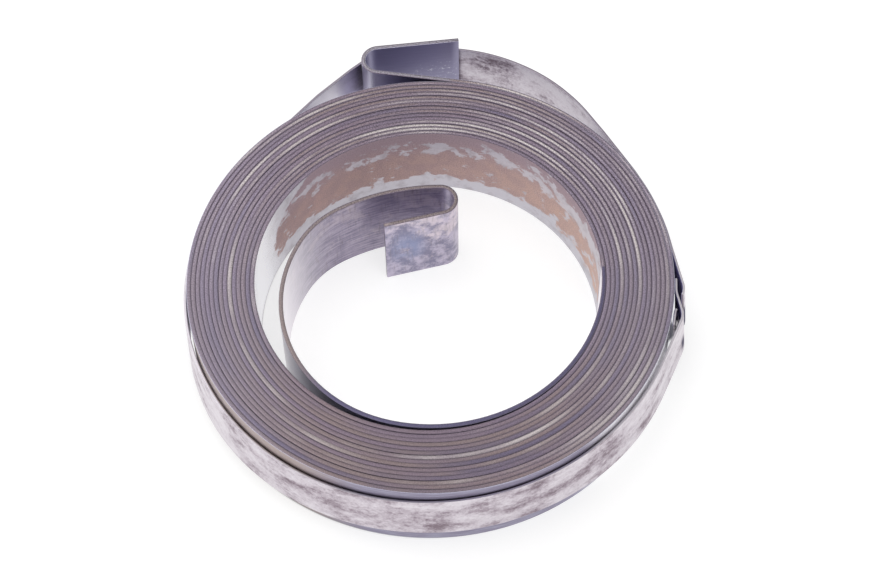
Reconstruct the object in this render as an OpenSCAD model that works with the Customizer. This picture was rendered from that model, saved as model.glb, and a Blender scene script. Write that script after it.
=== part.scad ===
// Recoil starter spring: a flat steel strip wound into a tight coil with a hook at each end,
// held closed by a narrow steel band whose two slit ends cross through each other.
// Millimetres, +Z up. The coil's axis is Z, and the strip's lower edge lies on Z = 0.

/* [Spring strip] */
// Width of the strip, which is the height of the coil
strip_w = 11; // [8:0.5:16]
// Thickness of the strip
strip_t = 0.45; // [0.3:0.05:0.7]
// Gap between one turn and the next
turn_gap = 0.07; // [0.05:0.01:0.2]
// Whole turns in the coil
turns = 15; // [6:1:20]
// Radius of the middle of the strip where the coil begins
coil_start_r = 20; // [17:0.5:26]

/* [Inner tail and hook] */
// How much tighter than the coil's start the tail is bent while it hugs the coil
tail_ease = 0.35; // [0.25:0.05:1]
// Angle over which the tail hugs the coil
tail_hug_a = 104.5; // [80:0.5:120]
// How much tighter than the coil's start the tail is bent where it leaves the coil
tail_lead_ease = 3.5; // [2:0.1:5]
// Angle over which the tail leaves the coil
tail_lead_a = 106; // [90:0.5:120]
// Bend radius of the tail's corner
tail_corner_r = 11; // [8:0.5:14]
// Angle of the tail's corner
tail_corner_a = 31.5; // [20:0.5:45]
// Bend radius of the flat stretch before the inner hook
tail_top_r = 24; // [18:0.5:40]
// Angle of the flat stretch before the inner hook
tail_top_a = 29.5; // [20:0.5:36]
// Bend radius of the inner hook, to the middle of the strip
inner_bend_r = 1.85; // [1.2:0.05:3]
// Angle through which the inner hook is folded back
inner_bend_a = 165.5; // [140:0.5:175]
// Length of the inner hook's free leg
inner_leg = 7.2; // [4:0.1:10]

/* [Outer hook] */
// Angle round the coil at which the outer end leaves it
outer_leave_a = 80; // [60:1:100]
// Length of the straight leg from the coil to the outer hook
outer_leg = 10.7; // [8:0.1:14]
// Bend radius of the outer hook, to the middle of the strip
outer_bend_r = 1.85; // [1.2:0.05:3]
// Angle through which the outer hook is folded back
outer_bend_a = 165; // [150:0.5:175]
// Length of the outer hook's free leg
outer_end = 10; // [7:0.1:13]

/* [Retaining band] */
// Width of the band
band_w = 6.7; // [5:0.1:8]
// Thickness of the band
band_t = 0.3; // [0.2:0.05:0.5]
// Clearance between the band and the spring
band_clear = 0.3; // [0.3:0.05:0.8]
// How far the loose band has slid to the right, which takes up clearance on the left
band_slide = 0.05; // [0:0.05:0.15]
// Radius of the band's bow over the outer hook
bow_r = 21; // [14:0.5:24]
// Angle by which the loose band has dropped at the back
band_tilt = 1.2; // [0:0.1:2]
// Angle by which the loose band has dropped at the left
band_roll = 0.9; // [0:0.1:1.5]
// Height of the band's lower edge at the back
band_rise = 1.4; // [0.8:0.05:2]

/* [Band lock] */
// Angle round the coil at which the band's two ends cross
lock_a = -7; // [-60:0.5:-5]
// Height of the crossing above the band's run round the coil
lock_lift = 0.25; // [0.25:0.05:0.6]
// Angle at which each end dives under the other
lock_dip = 17; // [15:0.5:22]
// Bend radius of the ends
lock_bend_r = 2.5; // [2:0.25:4]
// Straight length of each end at the crossing
lock_cross = 2.2; // [2.1:0.1:2.6]
// Angle by which each end is bent back to lie along the coil
lock_settle = 14; // [10:0.5:17]
// Length of each end past that bend
lock_tail = 1.5; // [1:0.1:3]
// Clearance of one end in the slit of the other
slit_clear = 0.3; // [0.15:0.05:0.3]

/* [Hidden] */
$fn = 96;
// Largest angle between the points of a bend that is drawn as an outline
facet_a = 5;

// A spiral of half turns: those behind the X axis and those before it have centres a half pitch apart
pitch = strip_t + turn_gap;
back_centre = [-pitch / 4, 0];
front_centre = [pitch / 4, 0];
first_back_r = coil_start_r + pitch / 4;
first_front_r = first_back_r + pitch / 2;
last_back_r = first_back_r + turns * pitch;
coil_r = first_front_r + (turns - 1) * pitch + strip_t / 2;

// A path step is [length, 0] for a straight run and [radius, angle] for a bend, left if positive
tail_start = [[coil_start_r, 0], -90];
tail_steps = [
    [coil_start_r - tail_ease, -tail_hug_a],
    [coil_start_r - tail_lead_ease, -tail_lead_a],
    [tail_corner_r, -tail_corner_a],
    [tail_top_r, -tail_top_a],
    [inner_bend_r, -inner_bend_a],
    [inner_leg, 0]
];
hook_start = [[coil_start_r + turns * pitch, 0], 90];
hook_steps = [
    [last_back_r, outer_leave_a],
    [outer_leg, 0],
    [outer_bend_r, -outer_bend_a],
    [outer_end, 0]
];
hook_centre = bend_centre(path_end(hook_start, [hook_steps[0], hook_steps[1]]), hook_steps[2]);
hook_tip = path_end(hook_start, hook_steps);
hook_corner = hook_tip[0] + strip_t / 2 * toward(hook_tip[1] + 90);

// The band's inner face goes round the coil, over the hook's tip in a bow, and round the hook's bend
wrap_centre = front_centre + [band_slide, 0];
wrap_r = coil_r + band_clear;
corner_r = outer_bend_r + strip_t / 2 + band_clear;
bow_centre = meeting(hook_centre, bow_r - corner_r, hook_corner, bow_r - band_clear);
bow_from = tangent_normal(wrap_centre, wrap_r, bow_centre, bow_r);
bow_to = bearing(hook_centre - bow_centre);
corner_to = tangent_normal(hook_centre, corner_r, wrap_centre, wrap_r) + 360;
band_back = bow_centre[1] + bow_r + band_t;

// Each end's path is solved so that the two ends cross at lock_lift above the band's run
run_r = wrap_r + band_t / 2;
cross_out = lock_bend_r * cos(lock_dip) - lock_cross / 2 * sin(lock_dip);
cross_along = lock_bend_r * sin(lock_dip) + lock_cross / 2 * cos(lock_dip);
cross_reach = run_r + lock_lift - cross_out;
lock_spread = atan2(cross_along, cross_reach)
    + acos((run_r - lock_bend_r) / norm([cross_reach, cross_along]));
lock_rise = ((run_r - lock_bend_r) * sin(lock_spread) - cross_along) / cos(lock_spread);
run_from = lock_a + lock_spread;
run_to = 360 + lock_a - lock_spread;
band_start = [wrap_centre + run_r * toward(run_from), run_from + 90];
band_steps = [
    [run_r, bow_from - run_from],
    [tangent_length(wrap_centre, wrap_r, bow_centre, bow_r), 0],
    [bow_r + band_t / 2, bow_to - bow_from],
    [corner_r + band_t / 2, corner_to - bow_to],
    [tangent_length(hook_centre, corner_r, wrap_centre, wrap_r), 0],
    [run_r, run_to - corner_to]
];
slit_l = (band_t + 2 * slit_clear) / sin(2 * lock_dip) + band_t / tan(2 * lock_dip);
slit_depth = 2 * lock_bend_r * (1 - cos(lock_dip)) + 2 * band_t;
slit_h = band_w / 2 + slit_clear / 2;

function toward(a) = [cos(a), sin(a)];
function bearing(v) = atan2(v[1], v[0]);
function bend_centre(pose, step) = pose[0] + step[0] * toward(pose[1] + 90 * sign(step[1]));
function step_end(pose, step) = step[1] == 0
    ? [pose[0] + step[0] * toward(pose[1]), pose[1]]
    : [bend_centre(pose, step) - step[0] * toward(pose[1] + step[1] + 90 * sign(step[1])), pose[1] + step[1]];
function path_end(pose, steps, i = 0) = i == len(steps)
    ? pose
    : path_end(step_end(pose, steps[i]), steps, i + 1);

// Poses along one step and along a whole path, without its start
function step_poses(pose, step) = let (n = max(1, ceil(abs(step[1]) / facet_a)))
    [for (i = [1:n]) step_end(pose, step[1] == 0 ? step : [step[0], step[1] * i / n])];
function path_poses(pose, steps, i = 0) = i == len(steps)
    ? []
    : concat(step_poses(pose, steps[i]), path_poses(step_end(pose, steps[i]), steps, i + 1));

// Steps of one end of the band, with 1 for bends to the left first and -1 for its mirror image
function end_steps(side) = [
    [lock_rise, 0],
    [lock_bend_r, side * (lock_spread + lock_dip)],
    [lock_cross, 0],
    [lock_bend_r, -side * lock_settle],
    [lock_tail, 0]
];

// Direction of the radii to the line that touches two circles on their right, going from p to q
function tangent_normal(p, rp, q, rq) = bearing(q - p) - acos((rp - rq) / norm(q - p));
function tangent_length(p, rp, q, rq) = sqrt(pow(norm(q - p), 2) - pow(rp - rq, 2));

// The point at distance rp from p and rq from q, on the right going from p to q
function meeting(p, rp, q, rq) = let (
    gap = norm(q - p),
    ahead = (rp * rp - rq * rq + gap * gap) / (2 * gap),
    aside = sqrt(rp * rp - ahead * ahead)
) p + ahead * toward(bearing(q - p)) + aside * toward(bearing(q - p) - 90);

// An upright half turn or less of the coil, as a true arc
module turn(centre, r, from, to) {
    translate(centre)
        rotate(from)
            rotate_extrude(angle = to - from)
                translate([r - strip_t / 2, 0])
                    square([strip_t, strip_w]);
}

// An upright strip along a path, with the path in the middle of its thickness
module strip_path(start, steps, t, w) {
    poses = concat([start], path_poses(start, steps));
    last = len(poses) - 1;
    left = [for (pose = poses) pose[0] + t / 2 * toward(pose[1] + 90)];
    right = [for (i = [last:-1:0]) poses[i][0] - t / 2 * toward(poses[i][1] + 90)];
    linear_extrude(w)
        polygon(concat(left, right));
}

module coil() {
    for (n = [0:turns - 1]) {
        turn(back_centre, first_back_r + n * pitch, 0, 180);
        turn(front_centre, first_front_r + n * pitch, 180, 360);
    }
}

module spring() {
    color("slategray")
        union() {
            coil();
            strip_path(tail_start, tail_steps, strip_t, strip_w);
            strip_path(hook_start, hook_steps, strip_t, strip_w);
        }
}

// A slit through one end of the band at the crossing, from the given height up
module slit(side, from) {
    translate(wrap_centre)
        rotate(lock_a)
            translate([run_r + lock_lift, 0, from])
                rotate(side * lock_dip)
                    translate([-slit_depth / 2, -slit_l / 2, 0])
                        cube([slit_depth, slit_l, slit_h]);
}

// The run round the coil goes on into the end that has its slit below, and the other end has it above
module band_strip() {
    difference() {
        strip_path(band_start, concat(band_steps, end_steps(1)), band_t, band_w);
        slit(1, 0);
    }
    difference() {
        strip_path([band_start[0], band_start[1] + 180], end_steps(-1), band_t, band_w);
        slit(-1, band_w - slit_h);
    }
}

module retaining_band() {
    color("silver")
        translate([0, 0, band_rise + band_w / 2 * cos(band_tilt) + band_back * sin(band_tilt)])
            rotate([-band_tilt, -band_roll, 0])
                translate([0, 0, -band_w / 2])
                    band_strip();
}

spring();
retaining_band();
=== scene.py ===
import bpy
import numpy as np
from mathutils import Matrix, Vector


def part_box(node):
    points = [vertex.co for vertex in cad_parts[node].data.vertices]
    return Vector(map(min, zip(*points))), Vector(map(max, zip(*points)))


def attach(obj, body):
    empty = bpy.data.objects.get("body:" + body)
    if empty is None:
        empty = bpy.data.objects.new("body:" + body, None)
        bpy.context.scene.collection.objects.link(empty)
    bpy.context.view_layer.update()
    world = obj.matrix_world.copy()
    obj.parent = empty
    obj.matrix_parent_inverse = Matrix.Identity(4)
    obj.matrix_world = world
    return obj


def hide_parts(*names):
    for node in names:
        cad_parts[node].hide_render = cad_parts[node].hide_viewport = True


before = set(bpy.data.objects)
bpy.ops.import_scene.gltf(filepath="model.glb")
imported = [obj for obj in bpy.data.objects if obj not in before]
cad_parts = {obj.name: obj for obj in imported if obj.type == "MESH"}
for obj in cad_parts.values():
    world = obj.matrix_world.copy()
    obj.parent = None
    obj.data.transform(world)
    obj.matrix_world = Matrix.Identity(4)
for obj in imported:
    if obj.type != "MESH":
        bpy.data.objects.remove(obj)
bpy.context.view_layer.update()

mm = 0.001
sharpDegrees = 50  # edges that bend more than this stay sharp
closest = 0.000001 * mm  # points nearer to each other than this count as one

# camera: where it looks, how far off, its height above the horizon and its lean, all in metres and degrees
camera = {
    "target": (0.631 * mm, -2.046 * mm, 11 * mm),
    "distance": 260 * mm,
    "elevation": 58.12,
    "lean": 1.5,
    "focalPixels": 2281.1,
    "imageWidth": 870,
    "sensor": 36.0,
}


# the camera stands on a sphere round its target and is turned about its own axis by the lean
def makeCamera(setup):
    tilt, lean = np.radians([setup["elevation"], setup["lean"]])
    right = Vector((1, 0, 0))
    up = Vector((0, np.sin(tilt), np.cos(tilt)))
    back = Vector((0, -np.cos(tilt), np.sin(tilt)))
    leanedUp = up * np.cos(lean) + right * np.sin(lean)
    leanedRight = right * np.cos(lean) - up * np.sin(lean)
    data = bpy.data.cameras.new("photoCamera")
    data.sensor_width = setup["sensor"]
    data.lens = setup["focalPixels"] / setup["imageWidth"] * setup["sensor"]
    data.clip_start = 1 * mm
    cam = bpy.data.objects.new("photoCamera", data)
    turned = Matrix((leanedRight, leanedUp, back)).transposed().to_4x4()
    cam.matrix_world = Matrix.Translation(Vector(setup["target"]) + back * setup["distance"]) @ turned
    bpy.context.scene.collection.objects.link(cam)
    bpy.context.scene.camera = cam


makeCamera(camera)
print("camera placed")


# path walking: a step is (length, 0) for a straight run or (radius, degrees) for a bend, left if positive

# unit vectors at the given headings in degrees
def toward(degrees):
    angle = np.radians(degrees)
    return np.stack([np.cos(angle), np.sin(angle)], axis=-1)


# points and headings along one step: a straight run is start + t * direction,
# and a bend is its centre minus the radius turned through t of the angle
def walkStep(point, heading, step, count):
    share = np.linspace(0, 1, count + 1)
    length, angle = step
    if angle == 0:
        points = point + share[:, None] * length * toward(heading)
        return points, np.full(count + 1, float(heading))
    side = 90 * np.sign(angle)
    centre = point + length * toward(heading + side)
    headings = heading + angle * share
    return centre - length * toward(headings + side), headings


# a path joins its steps end to end and keeps which step each point belongs to
def walkPath(point, heading, steps, spacing, bendDegrees):
    points, headings, owners = [], [], []
    for number, step in enumerate(steps):
        length, angle = step
        run = length if angle == 0 else length * np.radians(abs(angle))
        count = int(max(1, np.ceil(run / spacing), np.ceil(abs(angle) / bendDegrees)))
        stepPoints, stepHeadings = walkStep(point, heading, step, count)
        point, heading = stepPoints[-1], stepHeadings[-1]
        points.append(stepPoints)
        headings.append(stepHeadings)
        owners.append(np.full(count + 1, number))
    return np.concatenate(points), np.concatenate(headings), np.concatenate(owners)


# a path walked backwards has its points in reverse and its headings turned round
def reversePath(points, headings, owners):
    return points[::-1], headings[::-1] + 180, owners[::-1]


# keeps the first of the points that lie on each other
def dropDoubles(arrays):
    far = np.linalg.norm(np.diff(arrays[0], axis=0), axis=1) > closest
    keep = np.concatenate([[True], far])
    return [values[keep] for values in arrays]


# doubles the ring at each end, and the copies of the points move in by the chamfer
def doubleEnds(arrays, chamfer):
    points, headings = arrays[0], arrays[1]
    doubled = [np.insert(values, [1, len(values) - 1], values[[0, -1]], axis=0) for values in arrays]
    doubled[0][1] = points[0] + chamfer * toward(headings[0])
    doubled[0][-2] = points[-1] - chamfer * toward(headings[-1])
    return doubled


# strip section: a flat bar with rounded corners, given as side offset, which end it hangs from, and
# height from that end; it runs up the right face, over the top, down the left face and back below
def stripSection(thick, corner, support, cuts):
    turn = np.linspace(0, np.pi / 2, cuts + 1)
    wide, tall = corner * np.sin(turn), corner * np.cos(turn)
    flat = thick / 2 - corner
    rows = [
        ([0.0], 0, [0.0]),
        (-flat - wide, 0, corner - tall),
        ([-thick / 2], 0, [corner + support]),
        ([-thick / 2], 1, [-corner - support]),
        (-flat - tall, 1, wide - corner),
        ([0.0], 1, [0.0]),
        (flat + wide, 1, tall - corner),
        ([thick / 2], 1, [-corner - support]),
        ([thick / 2], 0, [corner + support]),
        (flat + tall, 0, corner - wide),
    ]
    side = np.concatenate([row[0] for row in rows])
    end = np.concatenate([np.full(len(row[0]), row[1]) for row in rows])
    rise = np.concatenate([row[2] for row in rows])
    return side, end, rise


# a strip surface carries the section along the path: point + side * left normal, at the height of its end;
# each ring's lean moves its lower and its upper edge, the end rings draw in by the chamfer, flat caps close
# them, and the whole is tipped back and to the left and lifted
def sweepStrip(name, points, headings, heights, section, thick, chamfer, lean=None, tipped=(0, 0), lift=0.0):
    side, end, rise = section
    rings, around = len(points), len(side)
    inset = np.zeros(rings)
    inset[[0, -1]] = chamfer
    offset = side[None, :] * (1 - inset[:, None] / (thick / 2))
    normal = toward(headings + 90)
    flat = points[:, None, :] + offset[:, :, None] * normal[:, None, :]
    low, high = heights[:, 0] + inset, heights[:, 1] - inset
    height = np.where(end[None, :] == 1, high[:, None], low[:, None]) + rise[None, :]
    lowest, highest = heights[:, 0].min(), heights[:, 1].max()
    if lean is not None:
        below = (highest - height) / (highest - lowest)
        lowMove, highMove = lean
        flat = flat + below[:, :, None] * lowMove[:, None, :] + (1 - below)[:, :, None] * highMove[:, None, :]
    back, left = np.radians(tipped)
    attitude = np.array(Matrix.Rotation(-left, 3, "Y") @ Matrix.Rotation(-back, 3, "X"))
    place = np.concatenate([flat, height[:, :, None]], axis=2) @ attitude.T
    place[:, :, 2] += lift

    ring, spot = np.meshgrid(np.arange(rings - 1), np.arange(around), indexing="ij")
    after = (spot + 1) % around
    here, ahead = ring * around, (ring + 1) * around
    quads = np.stack([here + spot, ahead + spot, ahead + after, here + after], axis=-1).reshape(-1, 4)
    caps = [list(range(around - 1, -1, -1)), list(range((rings - 1) * around, rings * around))]
    mesh = bpy.data.meshes.new(name)
    mesh.from_pydata(place.reshape(-1, 3).tolist(), [], quads.tolist() + caps)

    run = np.concatenate([[0], np.cumsum(np.linalg.norm(np.diff(points, axis=0), axis=1))])
    nominal = np.where(end == 1, highest, lowest) + rise
    loop = np.stack([side, nominal], axis=1)
    girth = np.concatenate([[0], np.cumsum(np.linalg.norm(np.roll(loop, -1, axis=0) - loop, axis=1))])
    u = np.stack([run[ring], run[ring + 1], run[ring + 1], run[ring]], axis=-1)
    v = np.stack([girth[spot], girth[spot], girth[spot + 1], girth[spot + 1]], axis=-1)
    uv = np.stack([u, v], axis=-1).reshape(-1, 2)
    capUv = np.concatenate([loop[::-1], loop])
    layer = mesh.uv_layers.new(name="strip")
    layer.data.foreach_set("uv", np.concatenate([uv, capUv]).astype(np.float32).ravel())

    mesh.polygons.foreach_set("use_smooth", np.ones(len(mesh.polygons), bool))
    mesh.set_sharp_from_angle(angle=np.radians(sharpDegrees))
    piece = bpy.data.objects.new(name, mesh)
    bpy.context.scene.collection.objects.link(piece)
    return piece, run


# one value for each ring, or for each spot of the section, spread over all vertices as an attribute
def addAttribute(piece, name, ringValues=None, spotValues=None):
    count = len(piece.data.vertices)
    if ringValues is not None:
        values = np.repeat(ringValues, count // len(ringValues))
    else:
        values = np.tile(spotValues, count // len(spotValues))
    made = piece.data.attributes.new(name, "FLOAT", "POINT")
    made.data.foreach_set("value", values.astype(np.float32))


# spring: sizes of the wound strip, its inner tail and hook and its outer hook, in metres and degrees; the
# turns' unevenness is waves of (size, rate per turn, start)
spring = {
    "thick": 0.45 * mm,
    "gap": 0.07 * mm,
    "turns": 15,
    "startRadius": 20 * mm,
    "tail": [
        (19.65 * mm, -104.5),
        (16.5 * mm, -106),
        (11 * mm, -31.5),
        (24 * mm, -29.5),
        (1.85 * mm, -165.5),
        (7.2 * mm, 0),
    ],
    "leaveDegrees": 80,
    "outerHook": [(10.7 * mm, 0), (1.85 * mm, -165), (10 * mm, 0)],
    "skin": 0.026 * mm,
    "corner": 0.035 * mm,
    "support": 0.05 * mm,
    "cornerCuts": 3,
    "chamfer": 0.04 * mm,
    "spacing": 1.1 * mm,
    "bendDegrees": 5,
    "riseMost": 0.06 * mm,
    "riseWaves": [(1.0, 0.37, 0.4), (0.7, 0.83, 1.9), (0.35, 2.21, 0.0)],
    "shiftMost": 0.006 * mm,
    "shiftWaves": [(1.0, 0.43, 1.1), (0.6, 0.71, 0.0)],
    "fadeTurns": 0.4,
}


# waves at each turn count: the sum of size * sin(2 pi * rate * turns + start), over the sum of the sizes
def sumWaves(turned, waves):
    size, rate, start = np.transpose(waves)[:, :, None]
    return np.sum(size * np.sin(2 * np.pi * rate * turned + start), axis=0) / np.sum(size)


# the coil is half turns about two centres a half pitch apart, so each half turn's radius grows by that much
def makeSpring(sizes):
    low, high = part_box("spring")
    pitch = sizes["thick"] + sizes["gap"]
    firstRadius = sizes["startRadius"] + pitch / 4
    halves = [(firstRadius + n * pitch / 2, 180) for n in range(2 * sizes["turns"])]
    lastRadius = firstRadius + sizes["turns"] * pitch
    start = np.array([sizes["startRadius"], 0.0])
    walk = (sizes["spacing"], sizes["bendDegrees"])
    tail = reversePath(*walkPath(start, -90, sizes["tail"], *walk))
    outward = halves + [(lastRadius, sizes["leaveDegrees"])] + sizes["outerHook"]
    coil = walkPath(start, 90, outward, *walk)
    points, headings = np.concatenate([tail[0], coil[0]]), np.concatenate([tail[1], coil[1]])
    turned = np.concatenate([np.full(len(tail[0]), -1.0), (coil[1] - 90) / 360])
    owner = np.concatenate([np.full(len(tail[0]), -1), coil[2]])
    heights = np.tile([low.z, high.z], (len(points), 1))
    arrays = dropDoubles([points, headings, turned, owner, heights])
    points, headings, turned, owner, heights = doubleEnds(arrays, sizes["chamfer"])

    # turns sit a little high or low and a little out or in, as sums of waves that fade at both ends
    wound = (owner >= 0) & (owner < len(halves))
    fromEnds = np.minimum(turned, sizes["turns"] - turned)
    fade = np.clip(fromEnds / sizes["fadeTurns"], 0, 1) * wound
    rise = sumWaves(turned, sizes["riseWaves"]) * fade * sizes["riseMost"]
    shift = sumWaves(turned, sizes["shiftWaves"]) * fade * sizes["shiftMost"]
    heights = heights + rise[:, None]
    heights[:, 0] = np.maximum(heights[:, 0], low.z)
    points = points + shift[:, None] * toward(headings + 90)

    # a thin skin of oxide on each face narrows the gaps between turns
    thick = sizes["thick"] + 2 * sizes["skin"]
    section = stripSection(thick, sizes["corner"], sizes["support"], sizes["cornerCuts"])
    piece, run = sweepStrip("woundSpring", points, headings, heights, section, thick, sizes["chamfer"])
    side, end, rise = section
    crown = np.clip(1 - np.abs(side) / (thick / 2), 0, 1) * (np.abs(rise) < sizes["corner"])
    tallness = (np.where(end == 1, high.z, low.z) + rise - low.z) / (high.z - low.z)
    free = owner > len(halves)
    hookRun = np.where(free, run - run[free].min(), 0) / (run[-1] - run[free].min())
    addAttribute(piece, "turnCount", ringValues=np.minimum(turned, sizes["turns"]))
    addAttribute(piece, "hookRun", ringValues=hookRun)
    addAttribute(piece, "leftSide", spotValues=side / (thick / 2))
    addAttribute(piece, "edgeCrown", spotValues=crown)
    addAttribute(piece, "tallness", spotValues=tallness)
    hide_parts("spring")
    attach(piece, "root")
    print("spring strip", len(piece.data.polygons), "faces,", round(run[-1], 3), "m long")
    return piece


woundSpring = makeSpring(spring)


# band: the loop round the coil and over the outer hook, and the two slit ends that cross, in metres and
# degrees; lowMove and highMove give how far each edge stands out, in millimetres, at bearings round the coil
band = {
    "width": 6.7 * mm,
    "thick": 0.3 * mm,
    "bowRadius": 21 * mm,
    "clear": 0.3 * mm,
    "slide": 0.05 * mm,
    "tilt": 1.2,
    "roll": 0.9,
    "rise": 1.4 * mm,
    "lockDegrees": -7,
    "lockLift": 0.25 * mm,
    "lockDip": 17,
    "lockBend": 2.5 * mm,
    "lockCross": 2.2 * mm,
    "lockSettle": 14,
    "lockTail": 1.5 * mm,
    "slitClear": 0.3 * mm,
    "slitWall": 0.01 * mm,
    "lowMove": [
        (-180, 0.25), (-150, 0.42), (-125, 0.3), (-95, 0.06), (-70, 0.06), (-40, 0.35), (-7, 0.5),
        (8, 0.25), (20, 0.3), (32, 0.5), (45, 0.45), (58, 0.15), (70, 0.0), (98, 0.0),
        (106, 0.6), (115, 0.8), (124, 0.6), (136, 0.2), (150, 0.1), (180, 0.25),
    ],
    "highMove": [
        (-180, 0.0), (-155, -0.11), (-40, -0.11), (-22, 0.0),
        (8, 0.0), (20, 0.15), (32, 0.45), (45, 0.4), (58, 0.12), (70, 0.0), (98, 0.0),
        (106, 0.6), (115, 0.8), (124, 0.55), (136, 0.1), (150, 0.0), (180, 0.0),
    ],
    "corner": 0.06 * mm,
    "support": 0.05 * mm,
    "cornerCuts": 3,
    "chamfer": 0.03 * mm,
    "spacing": 0.6 * mm,
    "bendDegrees": 4,
}


# angle of a flat vector in degrees
def bearing(vector):
    return np.degrees(np.arctan2(vector[..., 1], vector[..., 0]))


# the line that touches two circles on their right: the direction of its radii, and its length between them
def tangentLine(p, rp, q, rq):
    span = np.linalg.norm(q - p)
    return bearing(q - p) - np.degrees(np.arccos((rp - rq) / span)), np.sqrt(span ** 2 - (rp - rq) ** 2)


# the point at distance rp from p and rq from q, on the right going from p to q
def meeting(p, rp, q, rq):
    span = np.linalg.norm(q - p)
    ahead = (rp ** 2 - rq ** 2 + span ** 2) / (2 * span)
    aside = np.sqrt(rp ** 2 - ahead ** 2)
    return p + ahead * toward(bearing(q - p)) + aside * toward(bearing(q - p) - 90)


# the bend centre and the outer corner of the tip of the spring's outer hook
def outerHookPlaces(sizes):
    pitch = sizes["thick"] + sizes["gap"]
    radius = sizes["startRadius"] + (sizes["turns"] + 0.25) * pitch
    steps = [(radius, sizes["leaveDegrees"])] + sizes["outerHook"]
    start = np.array([sizes["startRadius"] + sizes["turns"] * pitch, 0.0])
    points, headings, owners = walkPath(start, 90, steps, 1, 180)
    bendStart = points[owners == 2][0]
    centre = bendStart + sizes["outerHook"][1][0] * toward(headings[owners == 2][0] - 90)
    corner = points[-1] + sizes["thick"] / 2 * toward(headings[-1] + 90)
    return centre, corner


# the loop goes round the coil, on a tangent into the bow over the hook's tip, round the hook's bend and back;
# each end rises off the run, dips through the other and settles along the coil
def makeBand(sizes, springSizes):
    hookCentre, hookCorner = outerHookPlaces(springSizes)
    pitch = springSizes["thick"] + springSizes["gap"]
    coilRadius = springSizes["startRadius"] + (springSizes["turns"] - 0.25) * pitch + springSizes["thick"] / 2
    wrap, wrapRadius = np.array([pitch / 4 + sizes["slide"], 0.0]), coilRadius + sizes["clear"]
    half = sizes["thick"] / 2
    cornerRadius = springSizes["outerHook"][1][0] + springSizes["thick"] / 2 + sizes["clear"]
    bow = sizes["bowRadius"]
    bowCentre = meeting(hookCentre, bow - cornerRadius, hookCorner, bow - sizes["clear"])
    bowFrom, toBow = tangentLine(wrap, wrapRadius, bowCentre, bow)
    bowTo = bearing(hookCentre - bowCentre)
    cornerTo, fromCorner = tangentLine(hookCentre, cornerRadius, wrap, wrapRadius)
    cornerTo = cornerTo + 360

    dip = np.radians(sizes["lockDip"])
    runRadius = wrapRadius + half
    bend, cross = sizes["lockBend"], sizes["lockCross"]
    crossOut = bend * np.cos(dip) - cross / 2 * np.sin(dip)
    crossAlong = bend * np.sin(dip) + cross / 2 * np.cos(dip)
    reach = runRadius + sizes["lockLift"] - crossOut
    spread = np.arctan2(crossAlong, reach) + np.arccos((runRadius - bend) / np.hypot(reach, crossAlong))
    lockRise = ((runRadius - bend) * np.sin(spread) - crossAlong) / np.cos(spread)
    spread = np.degrees(spread)
    runFrom, runTo = sizes["lockDegrees"] + spread, 360 + sizes["lockDegrees"] - spread
    slit = (sizes["thick"] + 2 * sizes["slitClear"]) / np.sin(2 * dip) + sizes["thick"] / np.tan(2 * dip)
    wall = sizes["slitWall"]
    beside = (cross - slit) / 2 - wall

    loop = [
        (runRadius, bowFrom - runFrom),
        (toBow, 0),
        (bow + half, bowTo - bowFrom),
        (cornerRadius + half, cornerTo - bowTo),
        (fromCorner, 0),
        (runRadius, runTo - cornerTo),
    ]
    lockEnd = [
        (lockRise, 0),
        (bend, spread + sizes["lockDip"]),
        (beside, 0),
        (wall, 0),
        (slit, 0),
        (wall, 0),
        (beside, 0),
        (bend, -sizes["lockSettle"]),
        (sizes["lockTail"], 0),
    ]
    slitStep, wallSteps = 4, np.array([3, 5])
    start = wrap + runRadius * toward(runFrom)
    walk = (sizes["spacing"], sizes["bendDegrees"])
    mirrored = [(length, -angle) for length, angle in lockEnd]
    first = reversePath(*walkPath(start, runFrom - 90, mirrored, *walk))
    rest = walkPath(start, runFrom + 90, loop + lockEnd, *walk)
    points, headings = np.concatenate([first[0], rest[0]]), np.concatenate([first[1], rest[1]])
    owner = np.concatenate([first[2], rest[2] + len(lockEnd)])
    otherEnd = len(lockEnd) + len(loop)

    # the slit of one end comes up from below and that of the other down from above
    width = sizes["width"]
    slitHeight = width / 2 + sizes["slitClear"] / 2
    lows = np.where(owner == otherEnd + slitStep, slitHeight, 0.0)
    highs = np.where(owner == slitStep, width - slitHeight, width)
    heights = np.stack([lows, highs], axis=1) - width / 2
    walls = np.isin(owner, np.concatenate([wallSteps, wallSteps + otherEnd]))
    kept = [values[~walls] for values in (points, headings, heights)]
    points, headings, heights = doubleEnds(dropDoubles(kept), sizes["chamfer"])

    # both edges stand out or in a little, by millimetres given at bearings round the coil
    around = bearing(points - wrap)
    amounts = [np.interp(around, *np.transpose(sizes[edge])) for edge in ("lowMove", "highMove")]
    lean = [mm * amount[:, None] * toward(around) for amount in amounts]

    tilt = np.radians(sizes["tilt"])
    backReach = bowCentre[1] + bow + sizes["thick"]
    lift = sizes["rise"] + width / 2 * np.cos(tilt) + backReach * np.sin(tilt)
    section = stripSection(sizes["thick"], sizes["corner"], sizes["support"], sizes["cornerCuts"])
    piece, run = sweepStrip(
        "retainingBand", points, headings, heights, section, sizes["thick"], sizes["chamfer"],
        lean=lean, tipped=(sizes["tilt"], sizes["roll"]), lift=lift,
    )
    side, end, rise = section
    crown = np.clip(1 - np.abs(side) / half, 0, 1) * (np.abs(rise) < sizes["corner"])
    tallness = np.where(end == 1, 1.0, 0.0) + rise / width
    addAttribute(piece, "leftSide", spotValues=side / half)
    addAttribute(piece, "edgeCrown", spotValues=crown)
    addAttribute(piece, "tallness", spotValues=tallness)
    addAttribute(piece, "alongBand", ringValues=run / run[-1])
    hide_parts("retaining_band")
    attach(piece, "root")
    print("retaining band", len(piece.data.polygons), "faces,", round(run[-1], 3), "m long")
    return piece


retainingBand = makeBand(band, spring)


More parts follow.
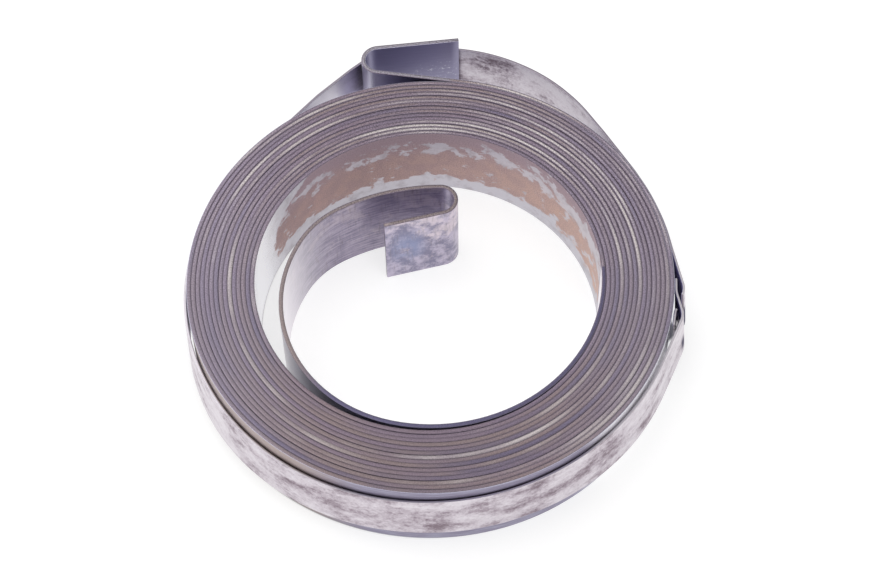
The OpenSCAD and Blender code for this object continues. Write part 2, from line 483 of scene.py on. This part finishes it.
# a new node with its settings, and its inputs set to values or linked to sockets
def put(tree, kind, inputs=None, **settings):
    made = tree.nodes.new(kind)
    for key, value in settings.items():
        setattr(made, key, value)
    for key, value in (inputs or {}).items():
        if isinstance(value, bpy.types.NodeSocket):
            tree.links.new(value, made.inputs[key])
        else:
            made.inputs[key].default_value = value
    return made


# value mapped from low..high to 0..1 along a smooth step, or the other way down where low is above high
def smoothStep(tree, value, low, high):
    inputs = {"Value": value, "From Min": low, "From Max": high}
    return put(tree, "ShaderNodeMapRange", inputs, interpolation_type="SMOOTHSTEP").outputs[0]


# colour a at factor 0 and b at factor 1
def blendColour(tree, factor, a, b):
    return put(tree, "ShaderNodeMix", {0: factor, 6: a, 7: b}, data_type="RGBA").outputs[2]


# colour times a factor
def shaded(tree, colour, factor):
    return put(tree, "ShaderNodeVectorMath", {0: colour, "Scale": factor}, operation="SCALE").outputs[0]


# one step of arithmetic on a and b, with short names for a * b, a + b and a - b
def calculate(tree, operation, a, b=0.0):
    return put(tree, "ShaderNodeMath", {0: a, 1: b}, operation=operation).outputs[0]


def times(tree, a, b):
    return calculate(tree, "MULTIPLY", a, b)


def plus(tree, a, b):
    return calculate(tree, "ADD", a, b)


def minus(tree, a, b):
    return calculate(tree, "SUBTRACT", a, b)


# 1 where the value lies between low and high, with soft margins: a step up times a step down
def between(tree, value, low, high, soft):
    risen = smoothStep(tree, value, low - soft, low + soft)
    return times(tree, risen, smoothStep(tree, value, high + soft, high - soft))


# one of the piece's own attributes
def attributeValue(tree, name):
    return put(tree, "ShaderNodeAttribute", attribute_name=name).outputs["Fac"]


# place in millimetres along and across the strip, from its own map: the map times the stretch, plus the shift
def stripPlace(tree, along=1.0, across=1.0, shift=0.0):
    uv = put(tree, "ShaderNodeUVMap", uv_map="strip").outputs[0]
    inputs = {0: uv, 1: (1000 * along, 1000 * across, 1000), 2: (shift, shift, shift)}
    return put(tree, "ShaderNodeVectorMath", inputs, operation="MULTIPLY_ADD").outputs[0]


# noise at a place: waves of the given scale with finer ones added, each weaker than the last by the roughness
def noiseValue(tree, place, scale, detail, rough):
    inputs = {"Vector": place, "Scale": scale, "Detail": detail, "Roughness": rough}
    return put(tree, "ShaderNodeTexNoise", inputs).outputs[0]


# noise over the strip for a pattern of a finish, which may stretch and shift the place
def stripNoise(tree, pattern):
    place = stripPlace(tree, *pattern.get("stretch", (1.0, 1.0)), pattern.get("shift", 0.0))
    return noiseValue(tree, place, pattern["scale"], pattern["detail"], pattern["rough"])


# rolled steel group: blotches of oxide, fine grain and lines along the strip, from the place on the strip
def makeRolledSteel():
    group = bpy.data.node_groups.new("rolledSteel", "ShaderNodeTree")
    sockets = group.interface
    sockets.new_socket("Place", in_out="INPUT", socket_type="NodeSocketVector")
    for name in ("Blotch Scale", "Blotch Low", "Blotch High", "Line Stretch"):
        sockets.new_socket(name, in_out="INPUT", socket_type="NodeSocketFloat")
    for name in ("Blotch", "Grain", "Lines"):
        sockets.new_socket(name, in_out="OUTPUT", socket_type="NodeSocketFloat")
    given = put(group, "NodeGroupInput").outputs
    blotch = noiseValue(group, given["Place"], given["Blotch Scale"], 6.0, 0.62)
    mask = smoothStep(group, blotch, given["Blotch Low"], given["Blotch High"])
    grain = noiseValue(group, given["Place"], 6.0, 3.0, 0.7)
    split = put(group, "ShaderNodeSeparateXYZ", {0: given["Place"]}).outputs
    drawn = times(group, split[0], given["Line Stretch"])
    along = put(group, "ShaderNodeCombineXYZ", {0: drawn, 1: split[1]}).outputs[0]
    lines = noiseValue(group, along, 4.0, 3.0, 0.6)
    put(group, "NodeGroupOutput", {"Blotch": mask, "Grain": grain, "Lines": lines})
    return group


rolledSteel = makeRolledSteel()


# the group in a material, with the finish's own values
def placeRolledSteel(tree, place, values):
    return put(tree, "ShaderNodeGroup", {"Place": place, **values}, node_tree=rolledSteel).outputs


# an empty material and its node tree
def newMaterial(name):
    material = bpy.data.materials.new(name)
    material.use_nodes = True
    material.node_tree.nodes.clear()
    return material, material.node_tree


# steel surface: colour, roughness and metal as given, with its normal bumped by the height
def finishSteel(tree, colour, rough, metal, height, bump):
    inputs = {"Height": height, "Strength": bump["strength"], "Distance": bump["distance"]}
    normal = put(tree, "ShaderNodeBump", inputs).outputs[0]
    inputs = {"Base Color": colour, "Roughness": rough, "Metallic": metal, "Normal": normal}
    shader = put(tree, "ShaderNodeBsdfPrincipled", inputs).outputs[0]
    put(tree, "ShaderNodeOutputMaterial", {"Surface": shader})


# spring finish: colours of the tempered strip in linear light, noise patterns per millimetre, and where each
# mark lies: a Turns range counts turns from the coil's start, a Run is in millimetres from the inner tip or a
# share of the outer hook, a Height is a share of the strip's width, and a Side is in metres across or back
springFinish = {
    "wallDeep": (0.25, 0.22, 0.31, 1),
    "wall": (0.35, 0.335, 0.44, 1),
    "wallRust": (0.44, 0.35, 0.30, 1),
    "wallLockShade": (0.07, 0.062, 0.13, 1),
    "silver": (0.56, 0.54, 0.59, 1),
    "silverDull": (0.40, 0.365, 0.40, 1),
    "silverBright": (0.97, 0.965, 1.0, 1),
    "tailDark": (0.17, 0.15, 0.225, 1),
    "tailLight": (0.44, 0.385, 0.48, 1),
    "tailRose": (0.66, 0.56, 0.59, 1),
    "tailBlue": (0.20, 0.225, 0.37, 1),
    "tailPale": (1.0, 0.96, 0.99, 1),
    "tailShade": (0.085, 0.078, 0.13, 1),
    "tailDusk": (0.25, 0.235, 0.38, 1),
    "legBlue": (0.33, 0.36, 0.45, 1),
    "hookDark": (0.26, 0.245, 0.37, 1),
    "hookLight": (0.39, 0.37, 0.50, 1),
    "hookShine": (0.60, 0.58, 0.68, 1),
    "film": (0.49, 0.35, 0.345, 1),
    "filmWarm": (0.66, 0.46, 0.39, 1),
    "filmTop": (0.43, 0.325, 0.365, 1),
    "crownMauve": (0.205, 0.16, 0.20, 1),
    "crownBrown": (0.225, 0.175, 0.18, 1),
    "crownBlue": (0.14, 0.12, 0.175, 1),
    "crownCool": (0.255, 0.23, 0.30, 1),
    "crownCream": (0.50, 0.46, 0.45, 1),
    "crownHook": (0.23, 0.215, 0.245, 1),
    "crownTail": (0.17, 0.14, 0.14, 1),
    "cornerPale": (0.42, 0.415, 0.51, 1),
    "cornerShade": (0.13, 0.105, 0.135, 1),
    "rolled": {"Blotch Scale": 0.5, "Blotch Low": 0.38, "Blotch High": 0.64, "Line Stretch": 0.07},
    "mottling": {"shift": 17.0, "scale": 0.6, "detail": 9.0, "rough": 0.74},
    "patches": {"shift": 31.0, "scale": 0.3, "detail": 8.0, "rough": 0.68},
    "scratches": {"stretch": (3.2, 0.3), "shift": 7.0, "scale": 1.0, "detail": 4.0, "rough": 0.65},
    "specks": {"scale": 2.2, "detail": 5.0, "rough": 0.75},
    "clouds": {"scale": 0.4, "detail": 8.0, "rough": 0.7},
    "ragged": {"stretch": (0.6, 1.0), "scale": 0.5, "detail": 7.0, "rough": 0.62},
    "flaking": {"stretch": (0.7, 1.0), "shift": 53.0, "scale": 0.6, "detail": 8.0, "rough": 0.66},
    "stretches": {"stretch": (1.0, 0.0), "scale": 0.022, "detail": 4.0, "rough": 0.6},
    "tints": {"stretch": (1.0, 0.0), "shift": 11.0, "scale": 0.03, "detail": 4.0, "rough": 0.6},
    "firstTurns": (-0.1, 0.95),
    "brightTurns": (0.40, 0.47),
    "filmEndTurns": 0.432,
    "filmLightTurns": (0.3, 0.37),
    "filmWarmTurns": (0.24, 0.04),
    "flakyTurns": (0.2, 0.08),
    "cornerTurns": (13.95, 14.05),
    "paleTurns": (14.86, 14.96),
    "lockTurns": (14.974, 14.99),
    "rustTurns": (14.53, 14.68),
    "legRun": (14, 9),
    "linedRun": (10, 15),
    "blueRun": (1.0, 4.4),
    "paleRun": (25, 41),
    "shadeRun": (39, 51),
    "duskRun": (52, 60),
    "hugRun": (46, 55),
    "shineRun": (0.36, 0.45),
    "speckRun": (0.78, 0.98),
    "blueHeight": (0.3, 0.72),
    "speckHeight": (0.32, 0.64),
    "footHeight": (0.20, 0.225),
    "flakyHeight": (0.62, 0.86),
    "filmTopHeight": (0.5, 0.95),
    "coolSide": (10 * mm, 25 * mm),
    "rightSide": (-4 * mm, 20 * mm),
    "backSide": (-8 * mm, 16 * mm),
    "roughMetal": 0.33,
    "roughFilm": 0.55,
    "bump": {"strength": 0.25, "distance": 0.06 * mm},
}


# what the spring's colours go by: millimetres along the strip, its attributes, which face or end it is, and
# how far to the back and the right it lies
def readSpring(tree, finish):
    turn, hookRun, left = [attributeValue(tree, name) for name in ("turnCount", "hookRun", "leftSide")]
    coordinates = put(tree, "ShaderNodeTexCoord").outputs
    spot = put(tree, "ShaderNodeSeparateXYZ", {0: coordinates["Object"]}).outputs
    return {
        "along": put(tree, "ShaderNodeSeparateXYZ", {0: stripPlace(tree)}).outputs[0],
        "turn": turn,
        "hookRun": hookRun,
        "crown": attributeValue(tree, "edgeCrown"),
        "tall": attributeValue(tree, "tallness"),
        "inside": smoothStep(tree, left, 0.3, 0.8),
        "outside": smoothStep(tree, left, -0.3, -0.8),
        "onTail": smoothStep(tree, turn, -0.3, -0.7),
        "onHook": smoothStep(tree, hookRun, 0.0, 0.04),
        "across": spot[0],
        "toBack": smoothStep(tree, spot[1], *finish["backSide"]),
        "toRight": smoothStep(tree, spot[0], *finish["rightSide"]),
    }


# plain walls: fine lines along the strip, and on the last turn's outside a painted reflection that is pale at
# the right of the front, painted shade by the lock and a rusty part at the left of the front
def wallColour(tree, finish, strip, lines):
    turn, outside = strip["turn"], strip["outside"]
    tone = blendColour(tree, smoothStep(tree, lines, 0.35, 0.65), finish["wallDeep"], finish["wall"])
    # painted reflection: pale silver on the last turn's outside at the right of the front
    pale = times(tree, between(tree, turn, *finish["paleTurns"], 0.015), times(tree, outside, 0.8))
    tone = blendColour(tree, pale, tone, finish["silverBright"])
    # painted shade: navy on the last turn's outside by the lock
    byLock = times(tree, between(tree, turn, *finish["lockTurns"], 0.006), outside)
    tone = blendColour(tree, byLock, tone, finish["wallLockShade"])
    rusty = times(tree, between(tree, turn, *finish["rustTurns"], 0.03), times(tree, outside, 0.8))
    return blendColour(tree, rusty, tone, finish["wallRust"])


# tail and inner hook: mottling that is crisp on the free leg and goes over into fine lines past it, a blue
# patch on the leg, rosy patches near the top, fine scratches across, painted light on the leg and more on its
# inner faces, pale towards the coil, and painted shade where its back lies against the coil
def tailColour(tree, finish, strip, lines):
    along, tall, outside = strip["along"], strip["tall"], strip["outside"]
    onLeg = smoothStep(tree, along, *finish["legRun"])
    mottling = stripNoise(tree, finish["mottling"])
    lined = times(tree, smoothStep(tree, along, *finish["linedRun"]), 0.6)
    mottling = plus(tree, mottling, times(tree, lined, minus(tree, lines, mottling)))
    crisp = times(tree, onLeg, 0.09)
    mottled = smoothStep(tree, mottling, plus(tree, crisp, 0.30), minus(tree, 0.70, crisp))
    tone = blendColour(tree, mottled, finish["tailDark"], finish["tailLight"])

    patches = stripNoise(tree, finish["patches"])
    blue = times(tree, between(tree, along, *finish["blueRun"], 1.2), outside)
    blue = times(tree, blue, between(tree, tall, *finish["blueHeight"], 0.2))
    blue = times(tree, blue, smoothStep(tree, patches, 0.62, 0.45))
    tone = blendColour(tree, times(tree, blue, 0.85), tone, finish["tailBlue"])
    high = times(tree, minus(tree, tall, 0.5), 0.22)
    rosy = smoothStep(tree, plus(tree, patches, high), 0.55, 0.68)
    rosy = times(tree, rosy, plus(tree, 0.3, times(tree, onLeg, 0.4)))
    tone = blendColour(tree, rosy, tone, finish["tailRose"])

    scratches = stripNoise(tree, finish["scratches"])
    rubbed = times(tree, smoothStep(tree, scratches, 0.56, 0.72), 0.25)
    tone = blendColour(tree, rubbed, tone, finish["silver"])
    cut = times(tree, smoothStep(tree, scratches, 0.46, 0.32), 0.4)
    tone = blendColour(tree, cut, tone, finish["crownTail"])
    tone = blendColour(tree, times(tree, onLeg, 0.15), tone, finish["legBlue"])
    # painted light: the leg lighter, its inner faces more so, against the shade inside the hook
    lit = plus(tree, 0.22, times(tree, minus(tree, 1.0, outside), 0.3))
    tone = shaded(tree, tone, plus(tree, 1.0, times(tree, onLeg, lit)))

    pale = times(tree, smoothStep(tree, along, *finish["paleRun"]), 0.85)
    tone = blendColour(tree, pale, tone, finish["tailPale"])
    # painted shade: dark navy on the tail's outer face where it lies against the coil, a little lighter
    # further on
    shade = times(tree, smoothStep(tree, along, *finish["shadeRun"]), outside)
    dusky = smoothStep(tree, along, *finish["duskRun"])
    dusk = blendColour(tree, dusky, finish["tailShade"], finish["tailDusk"])
    return blendColour(tree, times(tree, shade, 0.9), tone, dusk)


# outer hook: dark blue skin, a painted shine at its bend and a few bright specks low down near its tip
def hookColour(tree, finish, strip, lines):
    tall, hookRun = strip["tall"], strip["hookRun"]
    tone = blendColour(tree, smoothStep(tree, lines, -0.5, 1.5), finish["hookDark"], finish["hookLight"])
    # painted highlight: a shine at the hook's bend
    shine = times(tree, between(tree, hookRun, *finish["shineRun"], 0.05), 0.7)
    tone = blendColour(tree, shine, tone, finish["hookShine"])
    specks = times(tree, smoothStep(tree, stripNoise(tree, finish["specks"]), 0.56, 0.66), 0.7)
    specks = times(tree, specks, between(tree, tall, *finish["speckHeight"], 0.1))
    specks = times(tree, specks, between(tree, hookRun, *finish["speckRun"], 0.05))
    return blendColour(tree, specks, tone, finish["silverBright"])


# bare inside of the first turn: cloudy silver, and past the film a painted reflection that makes it brighter
def bareColour(tree, finish, bright):
    clouds = times(tree, smoothStep(tree, stripNoise(tree, finish["clouds"]), 0.46, 0.66), 0.8)
    tone = blendColour(tree, clouds, finish["silver"], finish["silverDull"])
    # painted reflection: brighter silver past the film
    return blendColour(tree, bright, tone, finish["silverBright"])


# where brown film lies on the first turn's inside: above a ragged foot, less the islands that have flaked off
# near its top and its right end, and before its left end, which falls back by the square of the height from
# the middle
def filmMask(tree, finish, strip):
    turn, tall = strip["turn"], strip["tall"]
    uneven = minus(tree, stripNoise(tree, finish["ragged"]), 0.5)
    foot = smoothStep(tree, plus(tree, tall, times(tree, uneven, 0.7)), *finish["footHeight"])
    upper = times(tree, between(tree, tall, *finish["flakyHeight"], 0.1), 0.145)
    nearEnd = times(tree, smoothStep(tree, turn, *finish["flakyTurns"]), 0.07)
    flaking = plus(tree, plus(tree, stripNoise(tree, finish["flaking"]), upper), nearEnd)
    flakes = times(tree, smoothStep(tree, flaking, 0.62, 0.66), 0.85)
    fromMiddle = minus(tree, tall, 0.45)
    bulge = times(tree, times(tree, fromMiddle, fromMiddle), 0.2)
    end = plus(tree, finish["filmEndTurns"], times(tree, uneven, 0.06))
    before = smoothStep(tree, minus(tree, end, plus(tree, turn, bulge)), 0.0, 0.004)
    return times(tree, times(tree, foot, minus(tree, 1.0, flakes)), before)


# film: warmer by blotches and towards its right end, mauve and a little darker near its top in painted shade
# under the top edge, and shaded by 0.45 + 1.1 * grain, with a little painted light at its left
def filmColour(tree, finish, strip, steel):
    turn = strip["turn"]
    toEnd = times(tree, smoothStep(tree, turn, *finish["filmWarmTurns"]), 2.0)
    warm = times(tree, plus(tree, steel["Blotch"], toEnd), 0.33)
    tone = blendColour(tree, warm, finish["film"], finish["filmWarm"])
    # painted shade: mauve and a little darker near the film's top, under the top edge
    nearTop = smoothStep(tree, strip["tall"], *finish["filmTopHeight"])
    tone = blendColour(tree, nearTop, tone, finish["filmTop"])
    speckle = plus(tree, 0.45, times(tree, steel["Grain"], 1.1))
    # painted light: the film lighter towards its left end
    lighter = times(tree, smoothStep(tree, turn, *finish["filmLightTurns"]), 0.15)
    return shaded(tree, tone, plus(tree, speckle, lighter))


# edges: stretches of mauve, brown, blue and cream along the strip, browner at the front, cooler at both
# sides, and with cream stretches more often to the back and right as painted light; painted shade darkens
# them to the front and left and on the tail's edge where it lies against the coil; both corners carry painted
# shade, the more so to the back and right, and the last turn's outer corner is pale
def crownColour(tree, finish, strip):
    crown, toBack, toRight = strip["crown"], strip["toBack"], strip["toRight"]
    stretch = stripNoise(tree, finish["stretches"])
    tint = minus(tree, stripNoise(tree, finish["tints"]), times(tree, toBack, 0.05))
    brown = smoothStep(tree, tint, 0.38, 0.54)
    tone = blendColour(tree, brown, finish["crownMauve"], finish["crownBrown"])
    tone = blendColour(tree, smoothStep(tree, stretch, 0.5, 0.36), tone, finish["crownBlue"])
    aside = calculate(tree, "ABSOLUTE", strip["across"])
    cool = times(tree, smoothStep(tree, aside, *finish["coolSide"]), 0.5)
    tone = blendColour(tree, cool, tone, finish["crownCool"])
    # painted light: cream stretches more often to the back and the right
    often = plus(tree, times(tree, toBack, 0.04), times(tree, toRight, 0.035))
    cream = times(tree, smoothStep(tree, plus(tree, stretch, often), 0.54, 0.68), 0.85)
    tone = blendColour(tree, cream, tone, finish["crownCream"])
    # painted shade and light: darker to the front and left, lighter to the back and right
    tone = shaded(tree, tone, plus(tree, 0.77, times(tree, toRight, 0.2)))
    tone = shaded(tree, tone, plus(tree, 0.9, times(tree, toBack, 0.2)))

    # painted shade: the tail's edge goes dark where it lies against the coil
    hugging = smoothStep(tree, strip["along"], *finish["hugRun"])
    hug = blendColour(tree, hugging, finish["crownTail"], finish["tailShade"])
    tone = blendColour(tree, strip["onTail"], tone, hug)
    tone = blendColour(tree, strip["onHook"], tone, finish["crownHook"])
    # painted shade in the corners between the turns, deeper to the back and the right
    deep = plus(tree, times(tree, toBack, 0.75), times(tree, toRight, 0.4))
    rolled = times(tree, smoothStep(tree, crown, 0.8, 0.2), plus(tree, deep, 0.15))
    tone = blendColour(tree, rolled, tone, finish["cornerShade"])
    corner = times(tree, smoothStep(tree, crown, 0.26, 0.1), strip["outside"])
    corner = times(tree, corner, smoothStep(tree, strip["turn"], *finish["cornerTurns"]))
    return blendColour(tree, corner, tone, finish["cornerPale"])


# tempered strip: walls, tail, hook, the first turn's inside and its film, each laid over the last by its
# mask, and over all the edges, which sparkle by 1 + (grain - 0.5) * strength
def makeSpringSteel(finish):
    material, tree = newMaterial("temperedStrip")
    strip = readSpring(tree, finish)
    steel = placeRolledSteel(tree, stripPlace(tree), finish["rolled"])
    lines, uneven = steel["Lines"], minus(tree, steel["Grain"], 0.5)
    firstTurn = times(tree, strip["inside"], between(tree, strip["turn"], *finish["firstTurns"], 0.05))
    # painted reflection: where the first turn's inside is brighter past the film
    bright = smoothStep(tree, strip["turn"], *finish["brightTurns"])
    film = times(tree, filmMask(tree, finish, strip), firstTurn)
    face = wallColour(tree, finish, strip, lines)
    face = blendColour(tree, strip["onTail"], face, tailColour(tree, finish, strip, lines))
    face = blendColour(tree, strip["onHook"], face, hookColour(tree, finish, strip, lines))
    face = blendColour(tree, firstTurn, face, bareColour(tree, finish, bright))
    face = blendColour(tree, film, face, filmColour(tree, finish, strip, steel))
    strength = plus(tree, 1.7, times(tree, strip["toBack"], 1.6))
    sparkle = plus(tree, 1.0, times(tree, uneven, strength))
    edge = shaded(tree, crownColour(tree, finish, strip), sparkle)
    colour = blendColour(tree, smoothStep(tree, strip["crown"], 0.0, 0.04), face, edge)

    # smoother on the bright silver, rougher and less metal on the film
    rough = plus(tree, finish["roughMetal"], times(tree, uneven, 0.22))
    rough = minus(tree, rough, times(tree, times(tree, bright, firstTurn), 0.13))
    rough = plus(tree, rough, times(tree, film, finish["roughFilm"] - finish["roughMetal"]))
    metal = minus(tree, 1.0, times(tree, film, 0.35))
    height = plus(tree, times(tree, film, 0.5), times(tree, lines, 0.3))
    finishSteel(tree, colour, rough, metal, height, finish["bump"])
    return material


# band finish: bright strip with dull oxide blotches, in linear light; tones gives the colours from bare to
# blotched, and spotted how thick the blotches lie at shares of the band's length, from the lock round by the
# outer hook, the left and the front and back to the lock; a Run is such a share too, and a Height is a share
# of the band's width
bandFinish = {
    "tones": [
        (0.32, (0.71, 0.665, 0.71, 1)),
        (0.46, (0.61, 0.555, 0.605, 1)),
        (0.57, (0.46, 0.40, 0.45, 1)),
        (0.72, (0.25, 0.195, 0.23, 1)),
    ],
    "spotted": [
        (0.0, 0.4), (0.10, 0.32), (0.17, 0.25), (0.23, 0.27), (0.31, 0.55), (0.36, 0.4),
        (0.48, 0.32), (0.60, 0.34), (0.68, 0.4), (0.75, 0.42), (0.84, 0.56), (0.93, 0.5), (1.0, 0.25),
    ],
    "pale": (0.95, 0.92, 1.0, 1),
    "tuckShade": (0.06, 0.055, 0.11, 1),
    "hollowShade": (0.26, 0.24, 0.48, 1),
    "edge": (0.42, 0.395, 0.425, 1),
    "edgeBack": (0.20, 0.175, 0.21, 1),
    "rolled": {"Blotch Scale": 0.55, "Blotch Low": 0.46, "Blotch High": 0.62, "Line Stretch": 0.15},
    "rolledStretch": 0.5,
    "streaks": {"stretch": (0.36, 0.8), "scale": 0.5, "detail": 7.0, "rough": 0.62},
    "marks": {"stretch": (0.85, 1.0), "shift": 23.0, "scale": 2.2, "detail": 6.0, "rough": 0.75},
    "broad": {"stretch": (0.35, 0.6), "shift": 5.0, "scale": 0.16, "detail": 4.0, "rough": 0.55},
    "fleckedRun": (0.16, 0.26),
    "frontRun": (0.68, 0.9),
    "frontHeight": (0.32, 0.62),
    "paleRun": (0.335, 0.46),
    "backRun": (0.05, 0.47),
    "firstEndRun": (0.075, 0.045),
    "lastEndRun": (0.962, 0.976),
    "tuckRun": (0.034, 0.026),
    "tuckHeight": (0.62, 0.45),
    "lensRun": (0.968, 0.973),
    "lensHeight": (0.15, 0.45),
    "rough": 0.32,
    "bump": {"strength": 0.2, "distance": 0.06 * mm},
}


# colours at places along a ramp, straight from one to the next
def rampColour(tree, value, stops):
    ramp = put(tree, "ShaderNodeValToRGB", {0: value})
    elements = ramp.color_ramp.elements
    while len(elements) < len(stops):
        elements.new(0.5)
    for element, (share, colour) in zip(elements, stops):
        element.position, element.color = share, colour
    return ramp.outputs[0]


# how thick the oxide lies: long soft streaks plus fine marks, moved up or down by how spotted this part of
# the band is, by broad noise and by the height on the front
def oxideAmount(tree, finish, length, tall):
    streaks = minus(tree, times(tree, stripNoise(tree, finish["streaks"]), 1.2), 0.1)
    flecked = plus(tree, 0.6, times(tree, between(tree, length, *finish["fleckedRun"], 0.02), 0.3))
    marks = times(tree, minus(tree, stripNoise(tree, finish["marks"]), 0.5), flecked)
    greys = [(share, (amount, amount, amount, 1)) for share, amount in finish["spotted"]]
    spotted = times(tree, minus(tree, rampColour(tree, length, greys), 0.5), 0.26)
    broad = times(tree, minus(tree, stripNoise(tree, finish["broad"]), 0.5), 0.25)
    onFront = between(tree, length, *finish["frontRun"], 0.04)
    middle = times(tree, between(tree, tall, *finish["frontHeight"], 0.22), onFront)
    moved = plus(tree, plus(tree, spotted, broad), times(tree, middle, 0.05))
    return plus(tree, plus(tree, streaks, marks), moved)


# band strip: oxide tones with grain, pale on the inner face beyond the hook, edges, and painted shade on the
# lower half of the tucked end, in a spot before the other tip and on the inner faces near the lock
def makeBandSteel(finish):
    material, tree = newMaterial("bandStrip")
    steel = placeRolledSteel(tree, stripPlace(tree, finish["rolledStretch"]), finish["rolled"])
    crown, length, tall, left = [
        attributeValue(tree, name) for name in ("edgeCrown", "alongBand", "tallness", "leftSide")
    ]
    inner = smoothStep(tree, left, 0.3, 0.9)
    oxide = oxideAmount(tree, finish, length, tall)
    tone = rampColour(tree, oxide, finish["tones"])
    tone = shaded(tree, tone, plus(tree, 0.8, times(tree, steel["Grain"], 0.4)))
    beyond = times(tree, times(tree, between(tree, length, *finish["paleRun"], 0.012), inner), 0.75)
    tone = blendColour(tree, beyond, tone, finish["pale"])
    atBack = between(tree, length, *finish["backRun"], 0.02)
    edge = blendColour(tree, atBack, finish["edge"], finish["edgeBack"])
    tone = blendColour(tree, smoothStep(tree, crown, 0.0, 0.4), tone, edge)

    # painted shade: navy on the band's inner faces near both ends, in the hollow by the lock
    ends = [smoothStep(tree, length, *finish[name]) for name in ("firstEndRun", "lastEndRun")]
    within = times(tree, inner, plus(tree, *ends))
    # painted shade: dark on the tucked end's lower half and in a spot before the other tip, where the ends
    # cross
    tucked = smoothStep(tree, length, *finish["tuckRun"])
    tucked = times(tree, tucked, smoothStep(tree, tall, *finish["tuckHeight"]))
    lens = between(tree, length, *finish["lensRun"], 0.002)
    lens = times(tree, lens, between(tree, tall, *finish["lensHeight"], 0.12))
    dark = calculate(tree, "MAXIMUM", plus(tree, tucked, lens), within)
    darkTone = blendColour(tree, within, finish["tuckShade"], finish["hollowShade"])
    colour = blendColour(tree, dark, tone, darkTone)

    # rougher on spots and in the painted shade, and less metal in the painted shade
    spots = smoothStep(tree, oxide, 0.5, 0.66)
    rough = plus(tree, finish["rough"], times(tree, minus(tree, steel["Grain"], 0.5), 0.2))
    rough = plus(tree, plus(tree, rough, times(tree, spots, 0.2)), times(tree, dark, 0.45))
    metal = minus(tree, 1.0, times(tree, dark, 0.8))
    height = plus(tree, times(tree, spots, 0.4), times(tree, steel["Lines"], 0.4))
    finishSteel(tree, colour, rough, metal, height, finish["bump"])
    return material


woundSpring.data.materials.append(makeSpringSteel(springFinish))
retainingBand.data.materials.append(makeBandSteel(bandFinish))
print("finishes made")

# stage: a wide white floor, a white surround and two soft lamps, in metres and watts; underCoil gives the
# radii between which the coil covers the floor with painted shadow, and underLock how far from lockSpots the
# floor is painted dark as shadow
stage = {
    "floorHalf": 3.0,
    "floorColour": (0.45, 0.45, 0.45, 1),
    "floorGlow": 0.66,
    "underCoil": (20.0 * mm, 27.9 * mm),
    "coverSoft": 0.15 * mm,
    "coverShade": 0.9,
    "lockSpots": [(27.4 * mm, -1.6 * mm, 0), (27.4 * mm, 3.4 * mm, 0)],
    "underLock": (1.9 * mm, 1.3 * mm),
    "lockReach": (28.8 * mm, 28.5 * mm),
    "lockShadowColour": (0.07, 0.065, 0.12, 1),
    "surround": 0.65,
    "lamps": [
        {"name": "keyLamp", "place": (-0.35, 0.25, 0.6), "size": 0.75, "watts": 2.2},
        {"name": "frontLamp", "place": (0.3, -0.5, 0.5), "size": 0.55, "watts": 1.2},
    ],
}


# 1 for rays from the camera and for mirrored or see-through ones, which is their sum held at 1
def seenRay(tree):
    rays = put(tree, "ShaderNodeLightPath").outputs
    seen = plus(tree, rays["Is Camera Ray"], rays["Is Glossy Ray"])
    inputs = {0: seen, 1: rays["Is Transmission Ray"]}
    return put(tree, "ShaderNodeMath", inputs, operation="ADD", use_clamp=True).outputs[0]


# the floor's glow and the surround's light are there for seen rays, and the lamps face the origin
def makeStage(setup):
    half = setup["floorHalf"]
    corners = [(-half, -half, 0), (half, -half, 0), (half, half, 0), (-half, half, 0)]
    mesh = bpy.data.meshes.new("floor")
    mesh.from_pydata(corners, [], [(0, 1, 2, 3)])
    floor = bpy.data.objects.new("floor", mesh)
    bpy.context.scene.collection.objects.link(floor)
    material, tree = newMaterial("whiteFloor")
    # painted shadow: the glow fades where the coil and the band's lock stand over the floor, and the floor is
    # painted dark under the lock
    spot = put(tree, "ShaderNodeTexCoord").outputs["Object"]
    radius = put(tree, "ShaderNodeVectorMath", {0: spot}, operation="LENGTH").outputs["Value"]
    inner, outer = setup["underCoil"]
    covered = between(tree, radius, inner, outer, setup["coverSoft"])
    spots = []
    for middle in setup["lockSpots"]:
        near = put(tree, "ShaderNodeVectorMath", {0: spot, 1: middle}, operation="DISTANCE").outputs["Value"]
        spots.append(smoothStep(tree, near, *setup["underLock"]))
    lockShadow = times(tree, calculate(tree, "MAXIMUM", *spots), smoothStep(tree, radius, *setup["lockReach"]))
    covered = calculate(tree, "MAXIMUM", covered, lockShadow)
    # painted shadow: the floor's colour goes dark under the lock
    paint = blendColour(tree, lockShadow, setup["floorColour"], setup["lockShadowColour"])
    matte = put(tree, "ShaderNodeBsdfDiffuse", {"Color": paint}).outputs[0]
    unlit = minus(tree, 1.0, times(tree, covered, setup["coverShade"]))
    strength = times(tree, times(tree, seenRay(tree), unlit), setup["floorGlow"])
    glow = put(tree, "ShaderNodeEmission", {"Strength": strength}).outputs[0]
    both = put(tree, "ShaderNodeAddShader", {0: matte, 1: glow}).outputs[0]
    put(tree, "ShaderNodeOutputMaterial", {"Surface": both})
    mesh.materials.append(material)

    world = bpy.data.worlds.new("whiteSurround")
    world.use_nodes = True
    tree = world.node_tree
    tree.nodes.clear()
    lit = put(tree, "ShaderNodeMix", {0: seenRay(tree), 2: setup["surround"], 3: 1.0}, data_type="FLOAT")
    background = put(tree, "ShaderNodeBackground", {"Color": (1, 1, 1, 1), "Strength": lit.outputs[0]})
    put(tree, "ShaderNodeOutputWorld", {"Surface": background.outputs[0]})
    bpy.context.scene.world = world

    for lamp in setup["lamps"]:
        data = bpy.data.lights.new(lamp["name"], "AREA")
        data.size, data.energy = lamp["size"], lamp["watts"]
        made = bpy.data.objects.new(lamp["name"], data)
        place = Vector(lamp["place"])
        made.matrix_world = Matrix.Translation(place) @ place.to_track_quat("Z", "Y").to_matrix().to_4x4()
        bpy.context.scene.collection.objects.link(made)


makeStage(stage)
bpy.context.scene.view_settings.view_transform = "Standard"
print("stage lit")
